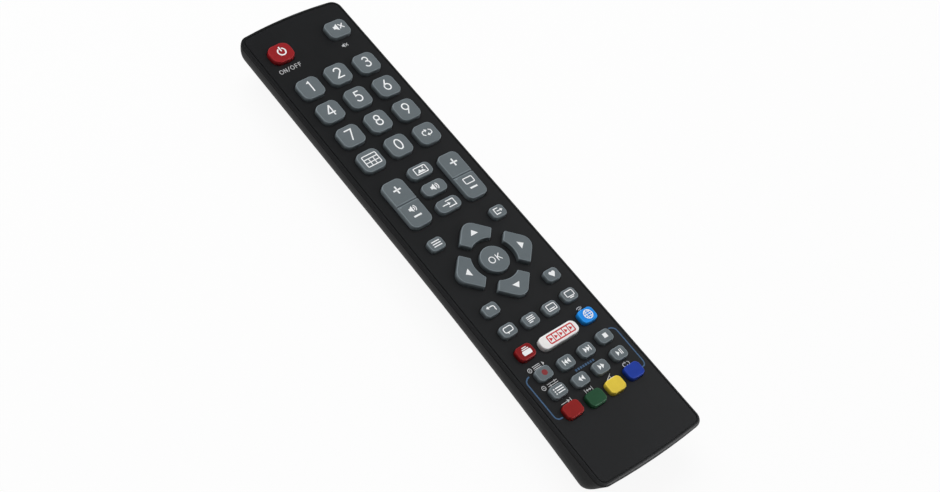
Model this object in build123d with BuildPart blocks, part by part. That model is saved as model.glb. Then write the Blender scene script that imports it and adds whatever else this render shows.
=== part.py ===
"""TV remote control: a two-part case, silicone keys over a circuit board, two cells, sliding cover.

Millimetres. +Z points up out of the key face, +Y towards the infrared end and +X to the right.
The origin is at the bottom centre of the case, under the middle of its length.
"""

from build123d import *

import math
import os

os.makedirs("parts", exist_ok=True)

# Case, outside
case_length = 220.0
far_width = 47.3
near_width = 51.4
far_end_radius = 250.0
near_end_radius = 305.0
case_corner_radius = 3.9
case_height = 20.75
crown_radius = 400.0
rim_drop = 2.1
rim_radius = 0.9
groove_inset = 1.15
groove_width = 0.35
groove_depth = 0.3
seam_line_height = 0.3
seam_line_depth = 0.4

# Underside: flat at the far half, then a long arc down to the battery belly
underside_radius = 15.0
belly_depth = 4.15
belly_start_y = 1.5
belly_end_gap = 14.0
far_end_slope = 6.0
near_end_slope = 24.0

# Case, inside
case_wall = 1.6
ceiling_drop = 1.85
lip_thickness = 0.8
lip_clearance = 0.15
lip_depth = 1.6

# Keys
key_rise = 1.9
key_travel = 0.8
key_chamfer = 0.4
key_clearance = 0.2
flange_margin = 0.5
flange_thickness = 0.7
flange_gap = 0.12
contact_clearance = 0.15
contact_height = 0.33
contact_radius = 1.5
contact_sides = 8

# Circuit board and mat
board_thickness = 1.0
board_inset = 3.3
mat_thickness = 0.7
mat_inset = 3.7
mat_key_clearance = 0.3

# Cells and their compartment
cell_diameter = 10.5
cell_length = 44.5
cell_gap = 0.7
nub_radius = 1.9
nub_height = 1.2
cell_roof_gap = 0.1
roof_thickness = 0.55
cradle_wall = 0.85
cradle_gap = 0.3
cradle_end_gap = 8.6
rib_thickness = 1.0
post_stations = (-20.0, 15.0, 50.0, 85.0)
post_x = 12.0
post_length = 5.0
contact_play = 0.05
plate_thickness = 0.4
plate_width = 8.0
plate_height = 8.0
plate_corner_radius = 1.5
spring_room = 5.5
spring_wire = 0.6
spring_base_radius = 2.6
spring_tip_radius = 1.9
spring_turns = 2.5

# Battery cover
cover_width = 30.0
cover_thickness = 1.3
cover_clearance = 0.2
cover_front_gap = 1.85
cover_end_height = 12.0
runner_thickness = 1.1
runner_reach = 1.2
runner_height = 1.0
rail_height = 1.0
rail_z = 5.7
runner_play = 0.15
tongue_width = 2.4
tongue_reach = 2.6
tongue_root = 1.6
tongue_rise = 0.3
thumb_ribs = 5
thumb_rib_pitch = 2.4
thumb_rib_depth = 0.35
thumb_rib_width = 16.0
thumb_rib_start = 6.0

# Screw
screw_from_cradle = 10.5
screw_radius = 1.0
screw_clearance = 0.05
screw_head_radius = 1.7
screw_head_height = 1.1
screw_boss_radius = 2.4
screw_end_gap = 0.5
screw_slot_width = 0.5
screw_slot_depth = 0.5

# Infrared emitter
emitter_radius = 2.5
emitter_flange_radius = 2.9
emitter_flange_length = 1.0
emitter_clearance = 0.1
emitter_proud = 0.4
emitter_lead = 0.5
emitter_lead_spacing = 2.54
emitter_lead_run = 2.0

# Parts on the board
chip_length = 14.0
chip_width = 9.0
chip_height = 1.8
chip_standoff = 0.1
chip_chamfer = 0.2
chip_y = 32.0
chip_pin_count = 8
chip_pin_reach = 1.3
chip_pin_width = 0.5
capacitor_radius = 3.0
capacitor_height = 7.2
capacitor_chamfer = 0.4
capacitor_y = 66.0

# Levels
seam_z = case_height - rim_drop
ceiling_z = case_height - ceiling_drop
flange_top_z = ceiling_z - flange_gap
flange_bottom_z = flange_top_z - flange_thickness
contact_z = flange_bottom_z - contact_height
board_top_z = contact_z - key_travel - contact_clearance
board_bottom_z = board_top_z - board_thickness
far_y = case_length / 2
near_y = -case_length / 2
overshoot = 3.0
belly_end_y = near_y + belly_end_gap
belly_run = belly_start_y - belly_end_y
belly_radius = (belly_run**2 + belly_depth**2) / (2 * belly_depth)
cradle_near_y = near_y + cradle_end_gap
cradle_far_y = cradle_near_y + spring_room + cell_length + contact_play + plate_thickness
cover_front_y = cradle_far_y + cover_front_gap
screw_y = cradle_near_y + screw_from_cradle


def half_width(y):
    """Half the plan width of the case at y: the case widens steadily to the near end."""
    return (far_width + (near_width - far_width) * (far_y - y) / case_length) / 2


def arc_sag(radius, x):
    """How far an arc of this radius falls back at x from its middle."""
    return radius - math.sqrt(radius**2 - x**2)


def underside_z(y, inset=0.0):
    """Height of the case's underside along its middle, or of a surface an even inset inside it."""
    run = max(0.0, belly_start_y - y)
    return belly_depth + inset - arc_sag(belly_radius + inset, run)


def plan_outline(inset=0.0):
    """The case seen from above, drawn in by an even inset."""
    far_half = half_width(far_y) - inset
    near_half = half_width(near_y) - inset
    far_side_y = far_y - inset - arc_sag(far_end_radius, far_half)
    near_side_y = near_y + inset + arc_sag(near_end_radius, near_half)
    with BuildSketch() as outline:
        with BuildLine():
            ThreePointArc((-far_half, far_side_y), (0, far_y - inset), (far_half, far_side_y))
            Line((far_half, far_side_y), (near_half, near_side_y))
            ThreePointArc((near_half, near_side_y), (0, near_y + inset), (-near_half, near_side_y))
            Line((-near_half, near_side_y), (-far_half, far_side_y))
        make_face()
        fillet(outline.vertices(), max(1.0, case_corner_radius - inset))
    return outline.sketch


def end_wall_y(end_y, slope, inset, z):
    """Where an end wall, which leans in below the parting line, stands at height z."""
    lean = (seam_z - z) * math.tan(math.radians(slope)) + inset / math.cos(math.radians(slope))
    return end_y - lean if end_y > 0 else end_y + lean


def hull(inset=0.0, top_z=seam_z, bottom_z=0.0):
    """The lower body: straight sides rolled into the underside, trimmed by leaning, bowed end walls."""
    high_z = seam_z + overshoot
    low_z = -belly_depth
    far_out_y = far_y + overshoot
    near_out_y = near_y - overshoot
    corner = max(1.0, case_corner_radius - inset)
    flat_z = belly_depth + inset
    middle_y = (belly_start_y + near_out_y) / 2
    with BuildPart() as body:
        with BuildSketch(Plane.YZ):
            with BuildLine():
                Line((far_out_y, flat_z), (belly_start_y, flat_z))
                ThreePointArc(
                    (belly_start_y, flat_z),
                    (middle_y, underside_z(middle_y, inset)),
                    (near_out_y, underside_z(near_out_y, inset)),
                )
                Polyline(
                    (near_out_y, underside_z(near_out_y, inset)),
                    (near_out_y, high_z),
                    (far_out_y, high_z),
                    (far_out_y, flat_z),
                )
            make_face()
        extrude(amount=near_width, both=True)
        with BuildSketch(Plane.XY.offset(low_z)):
            with BuildLine():
                far_half = half_width(far_out_y) - inset
                near_half = half_width(near_out_y) - inset
                Polyline(
                    (far_half, far_out_y),
                    (near_half, near_out_y),
                    (-near_half, near_out_y),
                    (-far_half, far_out_y),
                    close=True,
                )
            make_face()
        extrude(amount=high_z - low_z, mode=Mode.INTERSECT)
        sides = (body.faces().sort_by(Axis.X)[0], body.faces().sort_by(Axis.X)[-1])
        rolled = [edge for side in sides for edge in side.edges().sort_by(Axis.Z)[:2]]
        fillet(rolled, underside_radius - inset)
        for end_y, slope, radius in (
            (far_y, far_end_slope, far_end_radius),
            (near_y, near_end_slope, near_end_radius),
        ):
            outside_y = end_y + math.copysign(3 * overshoot, end_y)
            with BuildSketch(Plane.YZ):
                with BuildLine():
                    Polyline(
                        (end_wall_y(end_y, slope, inset, high_z + 1), high_z + 1),
                        (end_wall_y(end_y, slope, inset, low_z), low_z),
                        (outside_y, low_z),
                        (outside_y, high_z + 1),
                        close=True,
                    )
                make_face()
            axis = Axis((0, end_y - math.copysign(radius, end_y), 0), (0, 0, 1))
            revolve(axis=axis, mode=Mode.SUBTRACT)
        for end_face in (body.faces().sort_by(Axis.Y)[0], body.faces().sort_by(Axis.Y)[-1]):
            fillet(end_face.edges().sort_by(Axis.Z)[:-1], corner)
        split(bisect_by=Plane.XY.offset(top_z), keep=Keep.BOTTOM)
        split(bisect_by=Plane.XY.offset(bottom_z), keep=Keep.TOP)
    return body.part


def above_crown(height):
    """The space above the crowned face, for a crown whose middle is at this height."""
    reach = near_width / 2 + overshoot
    edge_z = height - arc_sag(crown_radius, reach)
    with BuildPart() as space:
        with BuildSketch(Plane.XZ):
            with BuildLine():
                ThreePointArc((-reach, edge_z), (0, height), (reach, edge_z))
                Polyline(
                    (reach, edge_z),
                    (reach, height + overshoot),
                    (-reach, height + overshoot),
                    (-reach, edge_z),
                )
            make_face()
        extrude(amount=case_length / 2 + overshoot, both=True)
    return space.part


def block(x_span, y_span, z_span, mode=Mode.ADD):
    """A plain block between two corners, joined to the part being built: a rib, rail or wall."""
    middle = ((x_span[0] + x_span[1]) / 2, (y_span[0] + y_span[1]) / 2)
    with BuildSketch(Plane.XY.offset(z_span[0])) as footprint:
        with Locations(middle):
            Rectangle(x_span[1] - x_span[0], y_span[1] - y_span[0])
    extrude(footprint.sketch, amount=z_span[1] - z_span[0], mode=mode)


# Key layout. Rows are measured from the middle of the OK key, before they are spread along the case.
far_bare_length = 14.7
near_bare_length = 28.4
number_column = 13.5
number_row_pitch = 12.63
number_top_row = 95.45
upper_row_radius = 190.0
lower_row_radius = 115.0
outer_column = 15.05
inner_column = 5.0
number_key = (9.7, 9.2, 2.6)
power_key = (9.8, 8.2, 3.2)
mute_key = (9.8, 7.9, 2.4)
rocker_key = (9.6, 21.6, 2.6)
mode_key = (10.4, 5.6, 2.2)
small_key = (6.5, 5.1, 1.6)
app_key = (7.2, 5.7, 1.8)
bar_key = (17.8, 5.5, 2.3)
colour_key = (7.4, 5.8, 1.8)
power_row = 113.8
rocker_row = 35.4
mode_row = 35.86
mode_pitch = 8.55
corner_key_row = 15.85
info_row = -26.73
app_row = -36.8
app_column = 15.3
record_row = -46.8
play_row = -54.84
colour_row = -63.1
colour_inner_column = 4.9
colour_outer_column = 15.2
ok_radius = 5.7
pad_half_diagonal = 19.1
pad_tip_radius = 4.2
pad_inner_radius = 9.1
pad_gap = 4.65
pad_corner_radius = 0.6
pad_contact_radius = 13.0

# The rows share out the length between the bare ends, from the power row to the coloured row.
row_spread = (case_length - far_bare_length - near_bare_length) / (power_row - colour_row)
ok_y = far_y - far_bare_length - power_row * row_spread

# Rocking keys
rocker_end_clearance = 0.35
rocker_lug_length = 5.0
rocker_lug_gap = 0.25
rocker_groove_width = 0.7
rocker_groove_depth = 0.45


def key_places():
    """Every rectangular key: name, x, y from the OK key, (width, length, corner)."""
    places = [
        ("key_power", -number_column, power_row * row_spread, power_key),
        ("key_mute", number_column, power_row * row_spread, mute_key),
    ]
    number_rows = (
        ("key_1", "key_2", "key_3"),
        ("key_4", "key_5", "key_6"),
        ("key_7", "key_8", "key_9"),
        ("key_guide", "key_0", "key_swap"),
    )
    for row, names in enumerate(number_rows):
        for column, name in enumerate(names):
            x = (column - 1) * number_column
            row_y = (number_top_row - row * number_row_pitch) * row_spread
            places.append((name, x, row_y - arc_sag(upper_row_radius, x), number_key))
    for step, name in enumerate(("key_picture", "key_sound", "key_source")):
        places.append((name, 0.0, (mode_row + (1 - step) * mode_pitch) * row_spread, mode_key))
    places.append(("key_volume", -number_column, rocker_row * row_spread, rocker_key))
    places.append(("key_channel", number_column, rocker_row * row_spread, rocker_key))
    corner_y = corner_key_row * row_spread
    places.append(("key_menu", -outer_column, corner_y, small_key))
    places.append(("key_exit", outer_column, corner_y, small_key))
    places.append(("key_back", -outer_column, -corner_y, small_key))
    places.append(("key_favourite", outer_column, -corner_y, small_key))
    lower_rows = (
        (info_row * row_spread, ("key_info", "key_text", "key_subtitle", "key_tv")),
        (record_row * row_spread, ("key_record", "key_previous", "key_next", "key_stop")),
        (play_row * row_spread, ("key_record_list", "key_rewind", "key_forward", "key_play")),
    )
    for row_y, names in lower_rows:
        for x, name in zip((-outer_column, -inner_column, inner_column, outer_column), names):
            places.append((name, x, row_y + arc_sag(lower_row_radius, x), small_key))
    colour_columns = (
        -colour_outer_column,
        -colour_inner_column,
        colour_inner_column,
        colour_outer_column,
    )
    colour_y = colour_row * row_spread
    for x, name in zip(colour_columns, ("key_red", "key_green", "key_yellow", "key_blue")):
        places.append((name, x, colour_y + arc_sag(lower_row_radius, x), colour_key))
    app_y = app_row * row_spread + arc_sag(lower_row_radius, app_column)
    places.append(("key_app_red", -app_column, app_y, app_key))
    places.append(("key_app_white", 0.0, app_row * row_spread, bar_key))
    places.append(("key_smart", app_column, app_y, app_key))
    return places


rockers = ("key_volume", "key_channel")
arrows = {"key_up": 0, "key_left": 90, "key_down": 180, "key_right": 270}


def rounded(size, margin=0.0, end_margin=None):
    """A key's outline in plan, grown by a margin."""
    width, length, corner = size
    end_margin = margin if end_margin is None else end_margin
    with BuildSketch() as outline:
        RectangleRounded(width + 2 * margin, length + 2 * end_margin, corner + margin)
    return outline.sketch


def squared(size, margin):
    """A square-cornered outline round a key, for its flange and the mat's opening."""
    with BuildSketch() as outline:
        Rectangle(size[0] + 2 * margin, size[1] + 2 * margin)
    return outline.sketch


def disc(radius):
    """A round outline."""
    with BuildSketch() as outline:
        Circle(radius)
    return outline.sketch


def arrow_outline(angle, margin=0.0):
    """A direction key in plan: one side of a round-cornered diamond, cut back round the OK key."""
    side = math.sqrt(2) * pad_half_diagonal + 2 * margin
    apex = pad_gap / math.sqrt(2) - math.sqrt(2) * margin
    reach = pad_half_diagonal + overshoot
    with BuildSketch() as outline:
        Rectangle(side, side, rotation=45)
        fillet(outline.vertices(), pad_tip_radius + margin)
        Circle(pad_inner_radius - margin, mode=Mode.SUBTRACT)
        with BuildLine():
            Polyline((0, apex), (reach, apex + reach), (-reach, apex + reach), close=True)
        make_face(mode=Mode.INTERSECT)
        ends = [v for v in outline.vertices() if abs(abs(v.X) - (v.Y - apex)) < 0.01]
        if margin < flange_margin:
            fillet(ends, pad_corner_radius)
    return outline.sketch.rotate(Axis.Z, angle)


def key_seat(x, y, z):
    """The level plane under a key, centred on it."""
    return Plane(origin=(x, ok_y + y, z))


def key_top(x, y):
    """The plane of a key's top, square to the crowned face below it."""
    face_z = case_height - arc_sag(crown_radius, x)
    return Plane(origin=(x, ok_y + y, face_z + key_rise), z_dir=(x, 0, crown_radius))


def make_key(name, cap, flange, x, y, contact=(0, 0)):
    """A pressed key: cap through the face, flange under it, contact below at its own place."""
    with BuildPart() as key:
        with BuildSketch(key_seat(x, y, flange_bottom_z)):
            add(cap)
        extrude(amount=case_height)
        split(bisect_by=key_top(x, y), keep=Keep.BOTTOM)
        chamfer(key.faces().sort_by(Axis.Z)[-1].edges(), key_chamfer)
        with BuildSketch(key_seat(x, y, flange_bottom_z)):
            add(flange)
        extrude(amount=flange_thickness)
        with BuildSketch(key_seat(x, y, contact_z)):
            with Locations(contact):
                RegularPolygon(contact_radius, contact_sides)
        extrude(amount=contact_height)
    key.part.label = name
    return key.part


def make_rocker(name, size, x, y):
    """A rocking key: a long cap on two middle lugs, with a groove across its middle."""
    width = size[0]
    groove_y = ok_y + y
    groove_z = key_top(x, y).origin.Z
    cap = rounded(size)
    with BuildPart() as key:
        with BuildSketch(key_seat(x, y, contact_z)):
            add(cap)
        extrude(amount=case_height)
        split(bisect_by=key_top(x, y), keep=Keep.BOTTOM)
        chamfer(key.faces().sort_by(Axis.Z)[-1].edges(), key_chamfer)
        with BuildSketch(Plane.YZ.offset(x)):
            with BuildLine():
                Polyline(
                    (groove_y - rocker_groove_width, groove_z + rocker_groove_depth),
                    (groove_y, groove_z - rocker_groove_depth),
                    (groove_y + rocker_groove_width, groove_z + rocker_groove_depth),
                    close=True,
                )
            make_face()
        extrude(amount=width, both=True, mode=Mode.SUBTRACT)
        with BuildSketch(key_seat(x, y, ceiling_z - rocker_lug_gap - flange_thickness)):
            Rectangle(width + 2 * flange_margin, rocker_lug_length)
        extrude(amount=flange_thickness)
    key.part.label = name
    return key.part


mat_margin = flange_margin + mat_key_clearance
keys = []
apertures = []
mat_openings = []
for name, x, y, size in key_places():
    if name in rockers:
        keys.append(make_rocker(name, size, x, y))
        aperture = rounded(size, key_clearance, rocker_end_clearance)
    else:
        keys.append(make_key(name, rounded(size), squared(size, flange_margin), x, y))
        aperture = rounded(size, key_clearance)
    apertures.append(Pos(x, ok_y + y) * aperture)
    mat_openings.append(Pos(x, ok_y + y) * squared(size, mat_margin))
for name, angle in arrows.items():
    cap = arrow_outline(angle)
    flange = arrow_outline(angle, flange_margin)
    pad_x = -pad_contact_radius * math.sin(math.radians(angle))
    pad_y = pad_contact_radius * math.cos(math.radians(angle))
    keys.append(make_key(name, cap, flange, 0, 0, contact=(pad_x, pad_y)))
    apertures.append(Pos(0, ok_y) * arrow_outline(angle, key_clearance))
    mat_openings.append(Pos(0, ok_y) * arrow_outline(angle, mat_margin))
keys.append(make_key("key_ok", disc(ok_radius), disc(ok_radius + flange_margin), 0, 0))
apertures.append(Pos(0, ok_y) * disc(ok_radius + key_clearance))
mat_openings.append(Pos(0, ok_y) * disc(ok_radius + mat_margin))

# Upper shell: crowned face, rounded rim with a fine groove inside it, tongue below the parting line.
# Its outer edge is stepped back just above the parting line, which leaves a fine shadow line there.
lip_outer = case_wall + lip_clearance
lip_bottom_z = seam_z - lip_depth
boss_bottom_z = board_top_z + contact_clearance
face_outline = plan_outline()
pocket_outline = plan_outline(lip_outer + lip_thickness / 2)
crown_space = above_crown(case_height)
groove_space = above_crown(case_height - groove_depth)
groove_outside = plan_outline(groove_inset)
groove_inside = plan_outline(groove_inset + groove_width)
seam_line_inside = plan_outline(seam_line_depth)
lip_outside = hull(lip_outer, top_z=ceiling_z, bottom_z=lip_bottom_z)
lip_inside = hull(lip_outer + lip_thickness, top_z=ceiling_z)

with BuildPart() as rim_groove:
    with BuildSketch(Plane.XY.offset(seam_z)):
        add(groove_outside)
        add(groove_inside, mode=Mode.SUBTRACT)
    extrude(amount=rim_drop + overshoot)
    add(groove_space, mode=Mode.INTERSECT)

with BuildPart() as upper_shell:
    with BuildSketch(Plane.XY.offset(seam_z)):
        add(face_outline)
    extrude(amount=rim_drop + overshoot)
    add(crown_space, mode=Mode.SUBTRACT)
    fillet(upper_shell.faces().sort_by(Axis.Z)[-1].edges(), rim_radius)
    add(rim_groove.part, mode=Mode.SUBTRACT)
    with BuildSketch(Plane.XY.offset(seam_z)):
        add(face_outline)
        add(seam_line_inside, mode=Mode.SUBTRACT)
    extrude(amount=seam_line_height, mode=Mode.SUBTRACT)
    with BuildSketch(Plane.XY.offset(seam_z)):
        add(pocket_outline)
    extrude(amount=ceiling_z - seam_z, mode=Mode.SUBTRACT)
    add(lip_outside)
    add(lip_inside, mode=Mode.SUBTRACT)
    with BuildSketch(Plane.XY.offset(ceiling_z)):
        for aperture in apertures:
            add(aperture)
    extrude(amount=ceiling_drop + overshoot, mode=Mode.SUBTRACT)
    with BuildSketch(Plane((0, screw_y, ceiling_z))):
        Circle(screw_boss_radius)
        Circle(screw_radius + screw_clearance, mode=Mode.SUBTRACT)
    extrude(amount=boss_bottom_z - ceiling_z)
upper_shell.part.label = "upper_shell"

# Cells: level, side by side, under the board
roof_bottom_z = board_bottom_z - roof_thickness
cell_radius = cell_diameter / 2
cell_x = cell_radius + cell_gap / 2
cell_z = roof_bottom_z - cell_roof_gap - cell_radius


def make_cell(name, x, positive_y, direction):
    """A AAA cell: plain can, positive nub towards positive_y, shallow ring at the other end."""
    body_length = cell_length - nub_height
    can_chamfer = 0.4
    with BuildPart() as cell:
        start = Plane(origin=(x, positive_y, cell_z), z_dir=(0, -direction, 0))
        with BuildSketch(start.offset(nub_height)):
            Circle(cell_radius)
        extrude(amount=body_length)
        chamfer(cell.edges().filter_by(GeomType.CIRCLE), can_chamfer)
        with BuildSketch(start):
            Circle(nub_radius)
        extrude(amount=nub_height)
    cell.part.label = name
    return cell.part


positive_1_y = cradle_far_y - plate_thickness - contact_play
positive_2_y = cradle_near_y + plate_thickness + contact_play
battery_cell_1 = make_cell("battery_cell_1", -cell_x, positive_1_y, 1)
battery_cell_2 = make_cell("battery_cell_2", cell_x, positive_2_y, -1)

# Positive contacts: one plate against each end wall of the compartment
with BuildPart() as positive_plates:
    for x, wall_y, direction in ((-cell_x, cradle_far_y, -1), (cell_x, cradle_near_y, 1)):
        plate = Plane(origin=(x, wall_y, cell_z), z_dir=(0, direction, 0))
        with BuildSketch(plate):
            RectangleRounded(plate_width, plate_height, plate_corner_radius)
        extrude(amount=plate_thickness)
positive_plates.part.label = "positive_plates"


def biarc(start, start_way, end, end_way):
    """Two arcs that leave start along start_way and reach end along end_way."""
    chord = end - start
    turn = 2 * (1 - start_way.dot(end_way))
    along = chord.dot(start_way + end_way)
    reach = (math.sqrt(along**2 + turn * chord.dot(chord)) - along) / turn
    first = start + start_way * reach
    second = end - end_way * reach
    joint = (first + second) / 2
    TangentArc(start, joint, tangent=start_way)
    TangentArc(joint, end, tangent=(second - first).normalized())


spring_length = spring_room - 2 * contact_play


def spring_point(turn):
    """A point on the spring's centre line after so many turns, and the wire's direction there."""
    angle = 2 * math.pi * turn
    share = turn / spring_turns
    taper = spring_tip_radius - spring_base_radius
    rise = spring_length - spring_wire
    radius = spring_base_radius + taper * share
    point = Vector(radius * math.cos(angle), radius * math.sin(angle), spring_wire / 2 + rise * share)
    way = Vector(
        taper / spring_turns * math.cos(angle) - 2 * math.pi * radius * math.sin(angle),
        taper / spring_turns * math.sin(angle) + 2 * math.pi * radius * math.cos(angle),
        rise / spring_turns,
    )
    return point, way.normalized()


def spring_path():
    """The spring's centre line: straight ends and a tapering coil of arcs a quarter turn long."""
    steps = int(4 * spring_turns)
    point, way = spring_point(0)
    with BuildLine() as path:
        Line(point - way * spring_wire, point)
        for step in range(1, steps + 1):
            next_point, next_way = spring_point(step * spring_turns / steps)
            biarc(point, way, next_point, next_way)
            point, way = next_point, next_way
        Line(point, point + way * spring_wire)
    return path.wire()


def least_gap(path, wire_diameter):
    """The least space between one turn of a coiled wire and the next, taken on points."""
    samples = [path.position_at(step / 400) for step in range(401)]
    spacing = path.length / 400
    apart = int(math.ceil(2.5 * wire_diameter / spacing))
    nearest = min(
        (samples[i] - samples[j]).length
        for i in range(len(samples))
        for j in range(i + apart, len(samples))
    )
    return nearest - wire_diameter


# Negative contacts: one unbroken coil of wire between an end wall and the flat end of each cell
coil_path = spring_path()
with BuildPart() as coil:
    with BuildSketch(Plane(coil_path @ 0, z_dir=coil_path % 0)):
        Circle(spring_wire / 2)
    sweep(path=coil_path)
gap = least_gap(coil_path, spring_wire)
print("least gap between the turns of a battery spring:", round(gap, 3))
spring_seats = (
    Plane(origin=(-cell_x, cradle_near_y + contact_play, cell_z), z_dir=(0, 1, 0)),
    Plane(origin=(cell_x, cradle_far_y - contact_play, cell_z), z_dir=(0, -1, 0)),
)
negative_springs = Compound(children=[seat * coil.part for seat in spring_seats])
negative_springs.label = "negative_springs"

# Lower shell: rounded tub with the cell cradle, cover rails, board ribs and emitter hole
cradle_half = cell_x + cell_radius + cradle_gap
cover_opening = cover_width + 2 * cover_clearance
runner_outer = cover_width / 2 - runner_reach
rail_top_z = rail_z + rail_height
cradle_bottom_z = rail_z + cover_clearance + 0.1
emitter_z = board_bottom_z - emitter_flange_radius - 0.1
hook_top_z = rail_top_z + runner_play + runner_height


rib_stations = (cradle_near_y - cradle_wall, (cradle_near_y + cradle_far_y) / 2, cradle_far_y)
rail_near_y = cradle_near_y - cradle_wall
emitter_y = end_wall_y(far_y, far_end_slope, 0, emitter_z) + emitter_proud
outer_body = hull()
tub_space = hull(case_wall, top_z=ceiling_z, bottom_z=case_wall)
wall_middle = hull(case_wall / 2, bottom_z=case_wall / 2)

with BuildPart() as cradle:
    cradle_outer = cradle_half + cradle_wall
    cradle_y = (cradle_near_y - cradle_wall, cradle_far_y + cradle_wall)
    block((-cradle_outer, cradle_outer), cradle_y, (cradle_bottom_z, board_bottom_z))
    cell_space_y = (cradle_near_y, cradle_far_y)
    block((-cradle_half, cradle_half), cell_space_y, (0, roof_bottom_z), Mode.SUBTRACT)
    with BuildSketch(Plane((0, screw_y, roof_bottom_z))):
        Circle(screw_radius + 2 * screw_clearance)
    extrude(amount=roof_thickness, mode=Mode.SUBTRACT)

with BuildPart() as ribs:
    for side in (-1, 1):
        outer_x = side * near_width / 2
        rail_x = sorted((side * (runner_outer + cover_clearance), outer_x))
        block(rail_x, (rail_near_y, cover_front_y), (rail_z, rail_top_z))
        rib_x = sorted((side * (cradle_outer - cradle_wall / 2), outer_x))
        for y in rib_stations:
            block(rib_x, (y, y + rib_thickness), (hook_top_z + cover_clearance, board_bottom_z))
        post_span = (side * post_x - rib_thickness / 2, side * post_x + rib_thickness / 2)
        for y in post_stations:
            post_y = (y - post_length / 2, y + post_length / 2)
            block(post_span, post_y, (underside_z(y), board_bottom_z))
    add(wall_middle, mode=Mode.INTERSECT)

with BuildPart() as lower_shell:
    add(outer_body)
    add(tub_space, mode=Mode.SUBTRACT)
    doorway_x = (-cover_opening / 2, cover_opening / 2)
    doorway_y = (near_y - overshoot, cover_front_y + cover_clearance)
    doorway_z = (-overshoot, cover_end_height + cover_clearance)
    block(doorway_x, doorway_y, doorway_z, Mode.SUBTRACT)
    add(cradle.part)
    add(ribs.part)
    with BuildSketch(Plane(origin=(0, far_y + overshoot, emitter_z), z_dir=(0, -1, 0))):
        Circle(emitter_radius + emitter_clearance)
    extrude(amount=3 * overshoot, mode=Mode.SUBTRACT)
lower_shell.part.label = "lower_shell"

# Battery cover: a slice of the underside with hooked runners, front tongues and thumb ribs
skin_half = cover_width / 2
runner_inner = runner_outer - runner_thickness
tongue_bottom_z = underside_z(cover_front_y + tongue_reach) + case_wall + tongue_rise
tongue_top_z = cradle_bottom_z - cover_clearance
tongue_x = runner_inner - tongue_width / 2 - cover_clearance
cover_space = hull(cover_thickness, top_z=ceiling_z, bottom_z=cover_thickness)
cover_middle = hull(cover_thickness / 2, bottom_z=cover_thickness / 2)
rib_floor = hull(thumb_rib_depth, bottom_z=thumb_rib_depth)

with BuildPart() as runners:
    runner_y = (rail_near_y, cover_front_y)
    hook_z = (rail_top_z + runner_play, hook_top_z)
    for side in (-1, 1):
        block(sorted((side * runner_inner, side * runner_outer)), runner_y, (0, hook_top_z))
        block(sorted((side * runner_inner, side * skin_half)), runner_y, hook_z)
    add(cover_middle, mode=Mode.INTERSECT)

with BuildPart() as thumb_grooves:
    for step in range(thumb_ribs):
        rib_y = cover_front_y - thumb_rib_start - step * thumb_rib_pitch
        rib_x = (-thumb_rib_width / 2, thumb_rib_width / 2)
        block(rib_x, (rib_y - thumb_rib_pitch / 2, rib_y), (-overshoot, cover_thickness + belly_depth))
    add(rib_floor, mode=Mode.SUBTRACT)

with BuildPart() as battery_cover:
    add(outer_body)
    add(cover_space, mode=Mode.SUBTRACT)
    cover_y = (near_y - overshoot, cover_front_y)
    block((-skin_half, skin_half), cover_y, (-overshoot, cover_end_height), Mode.INTERSECT)
    add(runners.part)
    for side in (-1, 1):
        tongue_span = (side * tongue_x - tongue_width / 2, side * tongue_x + tongue_width / 2)
        tongue_root_y = cover_front_y - tongue_root
        root_z = (underside_z(cover_front_y) + cover_thickness / 2, tongue_top_z)
        block(tongue_span, (tongue_root_y, cover_front_y), root_z)
        tongue_y = (tongue_root_y, cover_front_y + tongue_reach)
        block(tongue_span, tongue_y, (tongue_bottom_z, tongue_top_z))
    add(thumb_grooves.part, mode=Mode.SUBTRACT)
battery_cover.part.label = "battery_cover"

# Circuit board and key mat, stacked on the cradle roof and the posts
board_outline = plan_outline(board_inset)
mat_outline = plan_outline(mat_inset)

with BuildPart() as circuit_board:
    with BuildSketch(Plane.XY.offset(board_bottom_z)):
        add(board_outline)
        with Locations((0, screw_y)):
            Circle(screw_radius + 2 * screw_clearance, mode=Mode.SUBTRACT)
    extrude(amount=board_thickness)
circuit_board.part.label = "circuit_board"

with BuildPart() as key_mat:
    with BuildSketch(Plane.XY.offset(board_top_z)):
        add(mat_outline)
        for opening in mat_openings:
            add(opening, mode=Mode.SUBTRACT)
        with Locations((0, screw_y)):
            Circle(screw_boss_radius + mat_key_clearance, mode=Mode.SUBTRACT)
    extrude(amount=mat_thickness)
key_mat.part.label = "key_mat"

# Infrared emitter: domed body through the far end wall, flange behind it, two leads to the board
flange_z = emitter_z - emitter_flange_radius
flange_front_y = end_wall_y(far_y, far_end_slope, case_wall, flange_z) - emitter_clearance
flange_back_y = flange_front_y - emitter_flange_length
with BuildPart() as ir_emitter:
    with BuildSketch(Plane.YZ):
        with BuildLine():
            shoulder_y = emitter_y - emitter_radius
            Line((emitter_y, emitter_z), (flange_back_y, emitter_z))
            Polyline(
                (flange_back_y, emitter_z),
                (flange_back_y, emitter_z + emitter_flange_radius),
                (flange_front_y, emitter_z + emitter_flange_radius),
                (flange_front_y, emitter_z + emitter_radius),
                (shoulder_y, emitter_z + emitter_radius),
            )
            TangentArc(
                (shoulder_y, emitter_z + emitter_radius), (emitter_y, emitter_z), tangent=(1, 0)
            )
        make_face()
    revolve(axis=Axis((0, 0, emitter_z), (0, 1, 0)))
    for side in (-1, 1):
        middle_x = side * emitter_lead_spacing / 2
        lead_x = (middle_x - emitter_lead / 2, middle_x + emitter_lead / 2)
        bend_y = flange_back_y - emitter_lead_run
        level_z = (emitter_z - emitter_lead / 2, emitter_z + emitter_lead / 2)
        block(lead_x, (bend_y, flange_back_y), level_z)
        block(lead_x, (bend_y, bend_y + emitter_lead), (level_z[0], board_bottom_z))
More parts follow.
